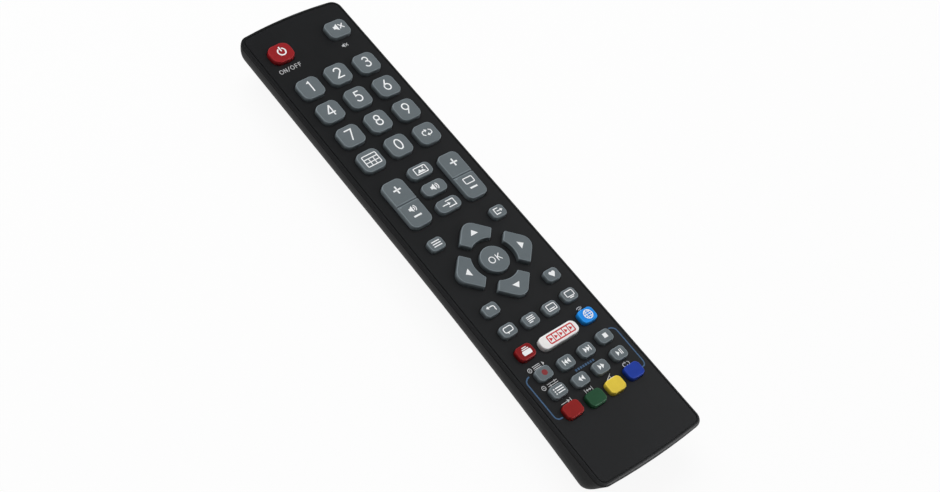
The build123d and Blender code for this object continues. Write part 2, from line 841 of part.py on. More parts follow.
ir_emitter.part.label = "ir_emitter"

# Parts soldered under the board
with BuildPart() as controller_chip:
    with BuildSketch(Plane((0, chip_y, board_bottom_z - chip_height))):
        Rectangle(chip_width, chip_length)
    extrude(amount=chip_height - chip_standoff)
    chamfer(controller_chip.faces().sort_by(Axis.Z)[0].edges(), chip_chamfer)
    pin_pitch = chip_length / chip_pin_count
    for side in (-1, 1):
        pin_x = sorted((side * chip_width / 2, side * (chip_width / 2 + chip_pin_reach)))
        for step in range(chip_pin_count):
            pin_y = chip_y + (step - (chip_pin_count - 1) / 2) * pin_pitch
            pin_span = (pin_y - chip_pin_width / 2, pin_y + chip_pin_width / 2)
            block(pin_x, pin_span, (board_bottom_z - chip_height / 2, board_bottom_z))
controller_chip.part.label = "controller_chip"

with BuildPart() as smoothing_capacitor:
    with BuildSketch(Plane((0, capacitor_y, board_bottom_z))):
        Circle(capacitor_radius)
    extrude(amount=-capacitor_height)
    chamfer(smoothing_capacitor.faces().sort_by(Axis.Z)[0].edges(), capacitor_chamfer)
smoothing_capacitor.part.label = "smoothing_capacitor"

# Case screw: flat head between the cells, shank up through the board into the upper shell's boss
with BuildPart() as case_screw:
    with BuildSketch(Plane((0, screw_y, roof_bottom_z))):
        Circle(screw_head_radius)
    extrude(amount=-screw_head_height)
    chamfer(case_screw.faces().sort_by(Axis.Z)[0].edges(), screw_head_height / 3)
    with BuildSketch(Plane((0, screw_y, roof_bottom_z - screw_head_height))):
        Rectangle(2 * screw_head_radius, screw_slot_width)
        Rectangle(screw_slot_width, 2 * screw_head_radius)
    extrude(amount=screw_slot_depth, mode=Mode.SUBTRACT)
    with BuildSketch(Plane((0, screw_y, roof_bottom_z))):
        Circle(screw_radius)
    extrude(amount=ceiling_z - screw_end_gap - roof_bottom_z)
case_screw.part.label = "case_screw"

assembled = [
    upper_shell.part,
    lower_shell.part,
    battery_cover.part,
    key_mat.part,
    circuit_board.part,
    ir_emitter.part,
    battery_cell_1,
    battery_cell_2,
    negative_springs,
    positive_plates.part,
    controller_chip.part,
    smoothing_capacitor.part,
    case_screw.part,
] + keys
for piece in assembled:
    export_step(piece, f"parts/{piece.label}.step")
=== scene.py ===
"""Looks of the tv remote control: black satin case, soft grey keys, printed marks, soft studio light."""

import math

import bmesh
import bpy
from mathutils import Matrix, Vector
from mathutils.geometry import delaunay_2d_cdt


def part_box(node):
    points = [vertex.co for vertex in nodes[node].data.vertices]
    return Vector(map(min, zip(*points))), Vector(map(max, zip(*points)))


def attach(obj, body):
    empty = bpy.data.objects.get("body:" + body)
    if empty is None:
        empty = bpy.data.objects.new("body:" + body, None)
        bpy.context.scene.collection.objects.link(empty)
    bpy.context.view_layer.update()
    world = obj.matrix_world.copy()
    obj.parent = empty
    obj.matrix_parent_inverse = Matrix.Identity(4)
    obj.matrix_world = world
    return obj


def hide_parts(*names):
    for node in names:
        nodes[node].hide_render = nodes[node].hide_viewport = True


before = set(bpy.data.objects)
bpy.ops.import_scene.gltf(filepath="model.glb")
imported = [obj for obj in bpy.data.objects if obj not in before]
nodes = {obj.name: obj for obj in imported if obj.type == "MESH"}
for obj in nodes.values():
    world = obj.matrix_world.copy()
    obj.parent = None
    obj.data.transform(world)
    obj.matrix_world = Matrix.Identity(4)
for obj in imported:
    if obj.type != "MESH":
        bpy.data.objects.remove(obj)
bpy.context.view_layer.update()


# Lower case shell: the tub under the remote, moulded in black ABS.
# The mould's fine spark texture makes it satin, and its walls roll round into the underside.
class Wire:
    """A shader socket that works in plain sums, and makes any other node beside it."""

    def __init__(self, tree, socket=None):
        self.tree = tree
        self.socket = socket

    def node(self, kind, settings=None, inputs=None):
        """A new node with its settings, then its values and links; its first output comes back."""
        made = self.tree.nodes.new(kind)
        for name, value in (settings or {}).items():
            if name == "stops":
                ramp = made.color_ramp.elements
                while len(ramp) < len(value):
                    ramp.new(0.5)
                for stop, (place, colour) in zip(ramp, value):
                    stop.position = place
                    stop.color = (*colour, 1)
            else:
                setattr(made, name, value)
        for place, value in (inputs or {}).items():
            if isinstance(value, Wire):
                self.tree.links.new(value.socket, made.inputs[place])
            else:
                made.inputs[place].default_value = value
        return Wire(self.tree, made.outputs[0])

    def out(self, name):
        """Another output of the same node."""
        return Wire(self.tree, self.socket.node.outputs[name])

    def sum(self, operation, first, second):
        """One Math node on two values."""
        return self.node("ShaderNodeMath", {"operation": operation}, {0: first, 1: second})

    def __add__(self, other):
        return self.sum("ADD", self, other)

    def __radd__(self, other):
        return self.sum("ADD", other, self)

    def __sub__(self, other):
        return self.sum("SUBTRACT", self, other)

    def __rsub__(self, other):
        return self.sum("SUBTRACT", other, self)

    def __mul__(self, other):
        return self.sum("MULTIPLY", self, other)

    def __rmul__(self, other):
        return self.sum("MULTIPLY", other, self)

    def blend(self, dark, light):
        """A colour that runs from dark to light as this value runs from 0 to 1."""
        ends = [end if isinstance(end, Wire) else (*end, 1) for end in (dark, light)]
        places = {"Factor": self, "A": ends[0], "B": ends[1]}
        mixed = self.node("ShaderNodeMix", {"data_type": "RGBA"}, places)
        return Wire(self.tree, mixed.socket.node.outputs[2])


def finish(name, **fixed):
    """A material with its uniform values set, and the wires that its varying ones start from."""
    material = bpy.data.materials.new(name)
    material.use_nodes = True
    tree = material.node_tree
    surface = tree.nodes["Principled BSDF"]
    for socket, value in fixed.items():
        surface.inputs[socket.replace("_", " ")].default_value = value
    place = Wire(tree).node("ShaderNodeTexCoord").out("Object")
    return material, surface, place


def feed(surface, **varying):
    """Links each varying value to the surface's socket of that name."""
    for socket, wire in varying.items():
        surface.id_data.links.new(wire.socket, surface.inputs[socket.replace("_", " ")])


def noise(place, scale, detail, roughness=0.5):
    """A cloudy value from 0 to 1, with this many clouds to the metre."""
    return place.node(
        "ShaderNodeTexNoise",
        None,
        {"Vector": place, "Scale": scale, "Detail": detail, "Roughness": roughness},
    )


def bump(height, depth, strength):
    """A surface that seems raised where the value is high, by a depth in metres."""
    return height.node(
        "ShaderNodeBump", None, {"Strength": strength, "Distance": depth, "Height": height}
    )


def case_plastic(name, grain_scale, shine):
    """Black ABS: the spark texture in the surface, and handling marks that change its shine."""
    material, surface, place = finish(name, IOR=1.5, Specular_IOR_Level=0.25)
    grain = noise(place, scale=grain_scale, detail=3.0, roughness=0.6)
    handling = noise(place, scale=60, detail=4.0)
    feed(
        surface,
        Base_Color=handling.blend((0.0050, 0.0054, 0.0059), (0.0066, 0.0072, 0.0082)),
        Roughness=shine + 0.08 * handling + 0.05 * grain,
        Normal=bump(grain, depth=0.00002, strength=0.35),
    )
    return material


def dress(node, material):
    """Gives a carried-over CAD node its material."""
    nodes[node].data.materials.clear()
    nodes[node].data.materials.append(material)


wall_plastic = case_plastic("case_wall_plastic", grain_scale=5200, shine=0.36)
dress("lower_shell", wall_plastic)


# Battery contacts: nickel-plated spring wire at the negative ends and strip at the positive ends.
# The plating is bright, with the drawn wire's fine streaks.
plated, surface, place = finish("nickel_plate", Metallic=1.0)
streaks = noise(place, scale=1500, detail=3.0)
feed(
    surface,
    Base_Color=streaks.blend((0.58, 0.57, 0.54), (0.70, 0.69, 0.66)),
    Roughness=0.22 + 0.15 * streaks,
    Normal=bump(streaks, depth=0.00001, strength=0.3),
)
for node, slot in (("negative_springs", "spring_steel"), ("positive_plates", "plate_nickel")):
    dress(node, plated)


# Cells: two AAA cans in a plain printed sleeve, black with a bronze band at the positive end.
# The sleeve is shrunk on, so the bare metal shows only at the two ends.
cell_length = 0.0445
bare_start = 0.0021 / cell_length
band_end = 0.24
bare_end = 0.965
print_edge = 0.004
bare_metal = (0.62, 0.61, 0.58)
silver_edge = (0.45, 0.46, 0.48)
bronze_band = (0.42, 0.30, 0.14)
black_sleeve = (0.035, 0.038, 0.045)
for node, positive in (("battery_cell_1", 1), ("battery_cell_2", -1)):
    low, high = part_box(node)
    middle_y = (low.y + high.y) / 2
    material, surface, place = finish(f"{node}_sleeve", Metallic=0.35)
    along = place.node("ShaderNodeSeparateXYZ", None, {0: place}).out("Y")
    from_positive = (along - middle_y) * (-positive) + cell_length / 2
    ramp = from_positive.node(
        "ShaderNodeValToRGB",
        {
            "stops": [
                (0.0, bare_metal),
                (bare_start, silver_edge),
                (bare_start + print_edge, bronze_band),
                (band_end, bronze_band),
                (band_end + print_edge, black_sleeve),
                (bare_end, black_sleeve),
                (bare_end + print_edge, bare_metal),
            ]
        },
        {0: from_positive * (1 / cell_length)},
    )
    scuffs = noise(place, scale=900, detail=3.0)
    feed(surface, Base_Color=ramp, Roughness=0.25 + 0.15 * scuffs)
    dress(node, material)


# Circuit board: 1 mm laminate under green solder resist, with copper tracks just showing through it.
# The chip and the capacitor are soldered to its underside.
board, surface, place = finish("solder_resist", Specular_IOR_Level=0.5)
cells = place.node(
    "ShaderNodeTexVoronoi", {"distance": "MANHATTAN", "feature": "F1"}, {"Vector": place, "Scale": 420}
)
tracks = cells.node("ShaderNodeValToRGB", {"stops": [(0.42, (0, 0, 0)), (0.5, (1, 1, 1))]}, {0: cells})
feed(
    surface,
    Base_Color=tracks.blend((0.018, 0.10, 0.045), (0.03, 0.16, 0.07)),
    Roughness=0.3 + 0.1 * tracks,
    Normal=bump(tracks, depth=0.00002, strength=0.5),
)
dress("circuit_board", board)

moulded, surface, place = finish("chip_moulding")
grit = noise(place, scale=4000, detail=2.0)
feed(
    surface,
    Base_Color=grit.blend((0.015, 0.015, 0.016), (0.03, 0.03, 0.032)),
    Roughness=0.5 + 0.2 * grit,
    Normal=bump(grit, depth=0.00002, strength=0.4),
)
dress("controller_chip", moulded)

can, surface, place = finish("capacitor_sleeve", Metallic=0.8)
brushed = noise(place, scale=2500, detail=2.0)
feed(
    surface,
    Base_Color=brushed.blend((0.50, 0.50, 0.52), (0.62, 0.62, 0.64)),
    Roughness=0.3 + 0.15 * brushed,
)
dress("smoothing_capacitor", can)


# Infrared emitter: a 5 mm lamp of faintly blue clear resin, its domed tip in a hole in the far end wall.
# The moulded resin is smooth, with slight flow lines inside its skin.
resin, surface, place = finish("emitter_resin", Transmission_Weight=0.85, IOR=1.5, Coat_Weight=0.4)
flow = noise(place, scale=700, detail=2.0)
feed(
    surface,
    Base_Color=flow.blend((0.62, 0.68, 0.80), (0.74, 0.79, 0.88)),
    Roughness=0.06 + 0.08 * flow,
)
dress("ir_emitter", resin)


# Key mat: a sheet of grey silicone over the board, which the keys are moulded with.
# The keys have a matt, faintly mottled lacquer, with a painted highlight along the rims of their tops and
# painted shade darkening their walls.
# How dark the painted shade on the key walls is, as a share of the keys' darker tone.
wall_shade_share = 0.68
# The palest that the painted highlight along the key rims may be.
rim_highlight_limit = 0.95


def level_run(value, low, high, at_low, at_high):
    """A level that runs evenly from one to another, as the value goes from low to high."""
    return value.node("ShaderNodeMapRange", None, {0: value, 1: low, 2: high, 3: at_low, 4: at_high})


def silicone(name, dark, light, shine, rim_highlight_gain=1.12):
    """Moulded silicone: a mottled lacquer, with a painted highlight along the top's rims and painted shade
    on its walls.
    """
    material, surface, place = finish(name, IOR=1.43, Specular_IOR_Level=0.3)
    mottle = noise(place, scale=500, detail=4.0)
    skin = noise(place, scale=7000, detail=2.0)
    upright = place.node("ShaderNodeTexCoord").out("Normal")
    facing_up = place.node("ShaderNodeSeparateXYZ", None, {0: upright}).out("Z")
    # Painted shade: the walls, which face sideways rather than up, are painted darker.
    wall_shade_mask = level_run(facing_up, low=0.15, high=0.6, at_low=1.0, at_high=0.0)
    off_top = level_run(facing_up, low=0.95, high=0.995, at_low=1.0, at_high=0.0)
    sharpness = place.node("ShaderNodeNewGeometry").out("Pointiness")
    # Painted highlight: the sharp rims round the top are painted paler.
    rim = level_run(sharpness, low=0.505, high=0.525, at_low=0.0, at_high=1.0) * off_top
    wall_shade_colour = [wall_shade_share * share for share in dark]
    rim_highlight_colour = [min(rim_highlight_limit, rim_highlight_gain * share + 0.005) for share in light]
    feed(
        surface,
        Base_Color=rim.blend(wall_shade_mask.blend(mottle.blend(dark, light), wall_shade_colour), rim_highlight_colour),
        Roughness=shine + 0.10 * mottle + 0.04 * skin,
        Normal=bump(skin, depth=0.000012, strength=0.3),
    )
    return material


# The grey keys have a stronger painted highlight along their rims.
grey_silicone = silicone(
    "grey_silicone", (0.122, 0.146, 0.158), (0.140, 0.166, 0.180), shine=0.46, rim_highlight_gain=1.5
)
dress("key_mat", grey_silicone)


# Keys: soft silicone caps with rounded top edges, on a flange held under the face.
# Each rides on its own body, and its top lies square to the crowned face under it.
mm = 0.001
ok_y = -18.5
crown_radius = 400.0
face_height = 20.75
key_rise = 1.9
flange_bottom = 18.08
flange_top = 18.78
contact_bottom = 17.75
flange_margin = 0.5
edge_round = 0.38
edge_steps = 4
edge_margin = 0.14
side_draft = 0.06
top_dome = 0.05
groove_depth = 0.5
groove_half_width = 0.42
groove_marks = (-0.7, -groove_half_width, -0.2, 0.0, 0.2, groove_half_width, 0.7)
groove_points = 5
groove_end_gap = 0.25
corner_steps = 8
corner_stretch = 0.5
contact_share = 0.3
rocker_foot = 0.3
wall_foot = 0.6
crest_spacing = 0.9
crest_clearance = 0.6
sharp_edge = math.radians(50)
merge_distance = 1e-7

# Steps of the rounded top edge: how far each is drawn in, and how far it lies under the top.
edge_profile = [
    (
        side_draft + edge_round * (1 - math.cos(math.pi / 2 * k / edge_steps)),
        edge_round * (1 - math.sin(math.pi / 2 * k / edge_steps)),
    )
    for k in range(edge_steps + 1)
]
edge_profile.append((side_draft + edge_round + edge_margin, 0.0))


def face_z(x):
    """Height of the crowned face at x."""
    return face_height - crown_radius + math.sqrt(crown_radius**2 - x**2)


def rounded_ring(width, length, corner, extra_y=()):
    """Points round a rounded rectangle, with extra ones at these heights of its long sides."""
    points = []
    for quarter, (sx, sy) in enumerate(((1, 1), (-1, 1), (-1, -1), (1, -1))):
        for step in range(corner_steps + 1):
            angle = math.pi / 2 * (quarter + step / corner_steps)
            points.append(
                (
                    sx * (width / 2 - corner) + corner * math.cos(angle),
                    sy * (length / 2 - corner) + corner * math.sin(angle),
                )
            )
        if quarter == 1:
            points += [(-width / 2, y) for y in sorted(extra_y, reverse=True)]
        if quarter == 3:
            points += [(width / 2, y) for y in sorted(extra_y)]
    return points


def inward(ring, distance):
    """The ring drawn in by an even distance."""
    moved = []
    count = len(ring)
    for i, (x, y) in enumerate(ring):
        before = Vector(ring[i - 1])
        after = Vector(ring[(i + 1) % count])
        here = Vector((x, y))
        first = (here - before).normalized()
        second = (after - here).normalized()
        normal = Vector((-(first.y + second.y), first.x + second.x)).normalized()
        spread = max(corner_stretch, normal.dot(Vector((-first.y, first.x))))
        moved.append(tuple(here + normal * (distance / spread)))
    return moved


def fill_points(ring, spacing):
    """Points on a square grid well inside the ring."""
    xs = [p[0] for p in ring]
    ys = [p[1] for p in ring]
    found = []
    for i in range(int((max(xs) - min(xs)) / spacing) + 1):
        for j in range(int((max(ys) - min(ys)) / spacing) + 1):
            x = min(xs) + spacing * (i + 0.5)
            y = min(ys) + spacing * (j + 0.5)
            inside = False
            near = False
            for k, (ax, ay) in enumerate(ring):
                bx, by = ring[k - 1]
                if (ay > y) != (by > y) and x < (bx - ax) * (y - ay) / (by - ay) + ax:
                    inside = not inside
                if math.hypot(x - ax, y - ay) < spacing * crest_clearance:
                    near = True
            if inside and not near:
                found.append((x, y))
    return found


class KeyTop:
    """Where a key stands, and the height of its top at any point on it."""

    def __init__(self, x, y, reach, groove=False):
        self.x = x
        self.y = y
        self.groove = groove
        self.reach = reach

    def level(self, dx, dy):
        """Height of the top, in mm, at this offset from the key's middle."""
        height = face_z(self.x) + key_rise - dx * self.x / crown_radius
        height -= top_dome * (dx * dx + dy * dy) / self.reach**2
        if self.groove:
            height -= max(0.0, groove_depth * (1 - abs(dy) / groove_half_width))
        return height


def piece(mesh, name, material, body):
    """A finished mesh as a piece of its own, riding on one body."""
    bmesh.ops.recalc_face_normals(mesh, faces=mesh.faces)
    data = bpy.data.meshes.new(name)
    mesh.to_mesh(data)
    mesh.free()
    data.materials.append(material)
    made = bpy.data.objects.new(name, data)
    bpy.context.scene.collection.objects.link(made)
    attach(made, body)
    return made


def cover_top(mesh, rim, outline, top):
    """Closes a key above its rim with a fine domed top, which follows the groove of a rocking key."""
    crest = fill_points(outline, crest_spacing)
    if top.groove:
        crest = [p for p in crest if abs(p[1]) > groove_marks[-1]]
        half = max(p[0] for p in outline) - groove_end_gap
        for dy in groove_marks[1:-1]:
            crest += [(-half + k * half / groove_points, dy) for k in range(2 * groove_points + 1)]
    count = len(outline)
    border = [(i, (i + 1) % count) for i in range(count)]
    points = [Vector(p) for p in outline + crest]
    flat, _, faces, origin, _, _ = delaunay_2d_cdt(points, border, [], 1, merge_distance)
    corners = []
    for p, sources in zip(flat, origin):
        on_rim = [k for k in sources if k < count]
        if on_rim:
            corners.append(rim[on_rim[0]])
        else:
            z = top.level(p.x, p.y)
            corners.append(mesh.verts.new(((top.x + p.x) * mm, (ok_y + top.y + p.y) * mm, z * mm)))
    for face in faces:
        mesh.faces.new([corners[i] for i in face])


def key_piece(name, ring, top, material, contact_at=(0.0, 0.0)):
    """The fine skin of one key, from its contact up to its rounded top, in place of the CAD key."""
    mesh = bmesh.new()
    cx, cy = contact_at
    contact = [(cx + (x - cx) * contact_share, cy + (y - cy) * contact_share) for x, y in ring]
    flange = inward(ring, -flange_margin)
    levels = [
        (contact, contact_bottom),
        (contact, flange_bottom),
        (flange, flange_bottom),
        (flange, flange_top),
        (ring, flange_top),
        (ring, face_height - wall_foot),
    ]
    if top.groove:
        levels = [(inward(ring, rocker_foot), contact_bottom), (ring, contact_bottom + rocker_foot)]
    layers = [[(dx, dy, z) for dx, dy in outline] for outline, z in levels]
    for inset, drop in edge_profile:
        outline = inward(ring, inset)
        layers.append([(dx, dy, top.level(dx, dy) - drop) for dx, dy in outline])
    rows = [
        [mesh.verts.new(((top.x + dx) * mm, (ok_y + top.y + dy) * mm, z * mm)) for dx, dy, z in layer]
        for layer in layers
    ]
    count = len(ring)
    for low, high in zip(rows, rows[1:]):
        for i in range(count):
            j = (i + 1) % count
            mesh.faces.new((low[i], low[j], high[j], high[i]))
    mesh.faces.new(list(reversed(rows[0])))
    cover_top(mesh, rows[-1], outline, top)
    cap = piece(mesh, name + "_cap", material, name)
    for polygon in cap.data.polygons:
        polygon.use_smooth = True
    cap.data.set_sharp_from_angle(angle=sharp_edge)
    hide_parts(name)
    return cap


def bow(radius, x):
    """How far a row that bows along the case lies off its middle at x."""
    return radius - math.sqrt(radius**2 - x**2)


number_size = (9.7, 9.2, 2.6)
power_size = (9.8, 8.2, 3.2)
mute_size = (9.8, 7.9, 2.4)
small_size = (6.5, 5.1, 1.6)
colour_size = (7.4, 5.8, 1.8)
app_size = (7.2, 5.7, 1.8)
app_bar_size = (17.8, 5.5, 2.3)
mode_size = (10.4, 5.6, 2.2)
number_column = 13.5
outer_column = 15.05
inner_column = 5.0
app_column = 15.3
colour_outer_column = 15.2
colour_inner_column = 4.9
upper_bow = 190.0
lower_bow = 115.0
power_row = 113.8
number_top_row = 95.45
number_row_pitch = 12.63
mode_row = 35.86
mode_pitch = 8.55
corner_key_row = 15.85
info_row = -26.73
app_row = -36.8
record_row = -46.8
play_row = -54.84
colour_row = -63.1

# Every key that is a rounded rectangle: its middle, measured from the OK key, and its size.
layout = {
    "key_power": (-number_column, power_row, power_size),
    "key_mute": (number_column, power_row, mute_size),
    "key_picture": (0, mode_row + mode_pitch, mode_size),
    "key_sound": (0, mode_row, mode_size),
    "key_source": (0, mode_row - mode_pitch, mode_size),
    "key_menu": (-outer_column, corner_key_row, small_size),
    "key_exit": (outer_column, corner_key_row, small_size),
    "key_back": (-outer_column, -corner_key_row, small_size),
    "key_favourite": (outer_column, -corner_key_row, small_size),
    "key_app_red": (-app_column, app_row + bow(lower_bow, app_column), app_size),
    "key_app_white": (0, app_row, app_bar_size),
    "key_smart": (app_column, app_row + bow(lower_bow, app_column), app_size),
}
number_rows = (
    ("key_1", "key_2", "key_3"),
    ("key_4", "key_5", "key_6"),
    ("key_7", "key_8", "key_9"),
    ("key_guide", "key_0", "key_swap"),
)
for row, names in enumerate(number_rows):
    row_y = number_top_row - row * number_row_pitch
    for x, name in zip((-number_column, 0.0, number_column), names):
        layout[name] = (x, row_y - bow(upper_bow, x), number_size)
lower_rows = (
    (info_row, ("key_info", "key_text", "key_subtitle", "key_tv")),
    (record_row, ("key_record", "key_previous", "key_next", "key_stop")),
    (play_row, ("key_record_list", "key_rewind", "key_forward", "key_play")),
)
for row_y, names in lower_rows:
    for x, name in zip((-outer_column, -inner_column, inner_column, outer_column), names):
        layout[name] = (x, row_y + bow(lower_bow, x), small_size)
colour_columns = (-colour_outer_column, -colour_inner_column, colour_inner_column, colour_outer_column)
for x, name in zip(colour_columns, ("key_red", "key_green", "key_yellow", "key_blue")):
    layout[name] = (x, colour_row + bow(lower_bow, x), colour_size)

# Coloured keys: slot, finish, darker and lighter tone, and how dull the lacquer is.
paints = {
    "key_power": ("key_power_red", "power_red", (0.28, 0.007, 0.010), (0.33, 0.010, 0.014), 0.40),
    "key_app_red": ("key_dark_red", "dark_red", (0.20, 0.004, 0.005), (0.24, 0.006, 0.008), 0.36),
    "key_app_white": ("key_white", "warm_white", (0.88, 0.865, 0.855), (0.94, 0.925, 0.915), 0.40),
    "key_smart": ("key_bright_blue", "bright_blue", (0.011, 0.255, 0.81), (0.015, 0.30, 0.90), 0.36),
    "key_red": ("key_red", "red", (0.22, 0.008, 0.007), (0.27, 0.011, 0.010), 0.44),
    "key_green": ("key_green", "green", (0.010, 0.055, 0.023), (0.013, 0.066, 0.029), 0.44),
    "key_yellow": ("key_yellow", "yellow", (0.76, 0.56, 0.052), (0.84, 0.63, 0.068), 0.44),
    "key_blue": ("key_deep_blue", "deep_blue", (0.008, 0.036, 0.29), (0.012, 0.045, 0.35), 0.44),
}
tops = {}
for name, (x, y, (width, length, corner)) in layout.items():
    slot = "key_grey"
    lacquer = grey_silicone
    if name in paints:
        slot, *coat = paints[name]
        lacquer = silicone(*coat)
    tops[name] = KeyTop(x, y, reach=width / 2)
    key_piece(name, rounded_ring(width, length, corner), tops[name], lacquer)


# Rocking keys for volume and channel: one long cap each, with a groove pressed across its middle.
# They rock on two lugs under the face, half way along.
rocker_width = 9.6
rocker_length = 21.6
rocker_corner = 2.6
rocker_row = 35.4
rocker_reach = 11.0
rocker_ring = rounded_ring(rocker_width, rocker_length, rocker_corner, groove_marks)
for name, x in (("key_volume", -number_column), ("key_channel", number_column)):
    tops[name] = KeyTop(x, rocker_row, reach=rocker_reach, groove=True)
    key_piece(name, rocker_ring, tops[name], grey_silicone)


# Direction pad: a round OK key, and four keys cut from a round-cornered diamond about it.
# All five stand at one height, with open channels between them.
ok_radius = 5.7
pad_diagonal = 19.1
pad_tip = 4.2
pad_inner = 9.1
pad_gap = 4.65
pad_end_corner = 0.6
pad_contact_radius = 13.0
pad_reach = 30.0
inner_steps = 16
disc_steps = 64


def rolled(corners):
    """Points round an outline whose corners (x, y, radius) are each rounded."""
    points = []
    count = len(corners)
    for i, (x, y, radius) in enumerate(corners):
        here = Vector((x, y))
        if radius == 0:
            points.append((x, y))
            continue
        before = (Vector(corners[i - 1][:2]) - here).normalized()
        after = (Vector(corners[(i + 1) % count][:2]) - here).normalized()
        half = before.angle(after) / 2
        reach = radius / math.tan(half)
        centre = here + (before + after).normalized() * (radius / math.sin(half))
        start = here + before * reach - centre
        end = here + after * reach - centre
        turn = start.angle_signed(end)
        for k in range(corner_steps + 1):
            angle = -turn * k / corner_steps
            c, s = math.cos(angle), math.sin(angle)
            points.append((centre.x + start.x * c - start.y * s, centre.y + start.x * s + start.y * c))
    return points


def arrow_ring():
    """One direction key, the one that points along +Y, anticlockwise from its right end."""
    apex = pad_gap / math.sqrt(2)
    inner_y = (apex + math.sqrt(2 * pad_inner**2 - apex**2)) / 2
    inner_x = inner_y - apex
    outer_y = (pad_diagonal + apex) / 2
    outer_x = outer_y - apex
    corners = [
        (inner_x, inner_y, pad_end_corner),
        (outer_x, outer_y, pad_end_corner),
        (0, pad_diagonal, pad_tip),
        (-outer_x, outer_y, pad_end_corner),
        (-inner_x, inner_y, pad_end_corner),
    ]
    start = math.atan2(inner_y, -inner_x)
    end = math.atan2(inner_y, inner_x)
    for k in range(2, inner_steps - 1):
        angle = start + (end - start) * k / inner_steps
        corners.append((pad_inner * math.cos(angle), pad_inner * math.sin(angle), 0))
    return rolled(corners)


def turned(points, degrees):
    """The points, turned about the OK key."""
    c, s = math.cos(math.radians(degrees)), math.sin(math.radians(degrees))
    return [(x * c - y * s, x * s + y * c) for x, y in points]


arrows = {"key_up": 0, "key_left": 90, "key_down": 180, "key_right": 270}
for name, degrees in arrows.items():
    tops[name] = KeyTop(0, 0, reach=pad_reach)
    contact_at = turned([(0, pad_contact_radius)], degrees)[0]
    cap = key_piece(name, turned(arrow_ring(), degrees), tops[name], grey_silicone, contact_at)
disc_ring = [
    (ok_radius * math.cos(math.tau * k / disc_steps), ok_radius * math.sin(math.tau * k / disc_steps))
    for k in range(disc_steps)
]
tops["key_ok"] = KeyTop(0, 0, reach=ok_radius)
key_piece("key_ok", disc_ring, tops["key_ok"], grey_silicone)


# Upper case shell: the crowned face with its key openings, its rounded rim and the fine groove in it.
# Same black ABS as the tub, but a closer and duller texture.
face_plastic = case_plastic("case_face_plastic", grain_scale=6500, shine=0.40)
dress("upper_shell", face_plastic)


# Printed marks: pad-printed ink on the keys and on the face, a few hundredths of a millimetre thick.
# They are digits, OK, ON/OFF and plain signs, and each rides with the key that it is printed on.
ink_thickness = 0.03
ink_lift = 0.012
ink_spacing = 0.35
pen_end_steps = 8
bold_pen = 0.56


def ink(name, dark, light):
    """Printed ink, thinner and duller in small patches."""
    material, surface, place = finish(name)
    wear = noise(place, scale=2500, detail=3.0)
    feed(surface, Base_Color=wear.blend(dark, light), Roughness=0.45 + 0.15 * wear)
    return material


white_ink = ink("white_ink", (0.90, 0.91, 0.92), (0.97, 0.98, 0.99))
face_ink = ink("face_ink", (0.50, 0.51, 0.52), (0.64, 0.65, 0.66))
red_ink = ink("red_ink", (0.50, 0.010, 0.016), (0.62, 0.016, 0.022))
dark_red_ink = ink("dark_red_ink", (0.19, 0.016, 0.020), (0.24, 0.022, 0.026))
blue_ink = ink("blue_ink", (0.038, 0.092, 0.18), (0.048, 0.115, 0.225))


def dense(points):
    """The same path with points close enough to follow a curved top."""
    found = [points[0]]
    for (ax, ay), (bx, by) in zip(points, points[1:]):
        steps = max(1, int(math.hypot(bx - ax, by - ay) / ink_spacing))
        found += [(ax + (bx - ax) * k / steps, ay + (by - ay) * k / steps) for k in range(1, steps + 1)]
    return found


def stroke(points, width, closed=False):
    """The outline of a pen stroke with round ends, or the two rings of a closed one."""
    path = dense(list(points) + ([points[0]] if closed else []))
    if closed:
        path = path[:-1]
    count = len(path)
    left = []
    right = []
    for i in range(count):
        here = Vector(path[i])
        ways = []
        if i > 0 or closed:
            ways.append((here - Vector(path[i - 1])).normalized())
        if i < count - 1 or closed:
            ways.append((Vector(path[(i + 1) % count]) - here).normalized())
        way = sum(ways, Vector((0, 0))).normalized()
        side = Vector((-way.y, way.x))
        reach = width / 2 / max(corner_stretch, side.dot(Vector((-ways[0].y, ways[0].x))))
        left.append(here + side * reach)
        right.append(here - side * reach)
    if closed:
        return [("band", left, right)]
    ends = []
    for here, inner in ((path[-1], path[-2]), (path[0], path[1])):
        out = (Vector(here) - Vector(inner)).normalized()
        start = math.atan2(out.y, out.x) - math.pi / 2
        angles = [start + math.pi * k / pen_end_steps for k in range(1, pen_end_steps)]
        ends.append([Vector(here) + Vector((math.cos(a), math.sin(a))) * width / 2 for a in angles])
    return [("area", right + ends[0] + list(reversed(left)) + ends[1])]


def area(points):
    """A filled outline."""
    return [("area", [Vector(p) for p in dense(list(points) + [points[0]])[:-1]])]


def arc(x, y, rx, ry, start, end, steps=20):
    """Points along part of an ellipse, in degrees from +X."""
    return [
        (
            x + rx * math.cos(math.radians(start + (end - start) * k / steps)),
            y + ry * math.sin(math.radians(start + (end - start) * k / steps)),
        )
        for k in range(steps + 1)
    ]


def placed(shapes, x=0.0, y=0.0, scale=1.0, degrees=0.0):
    """The same marks, scaled, turned and moved."""
    turn = Matrix.Rotation(math.radians(degrees), 2)
    return [
        (kind, *[[turn @ (p * scale) + Vector((x, y)) for p in ring] for ring in rings])
        for kind, *rings in shapes
    ]


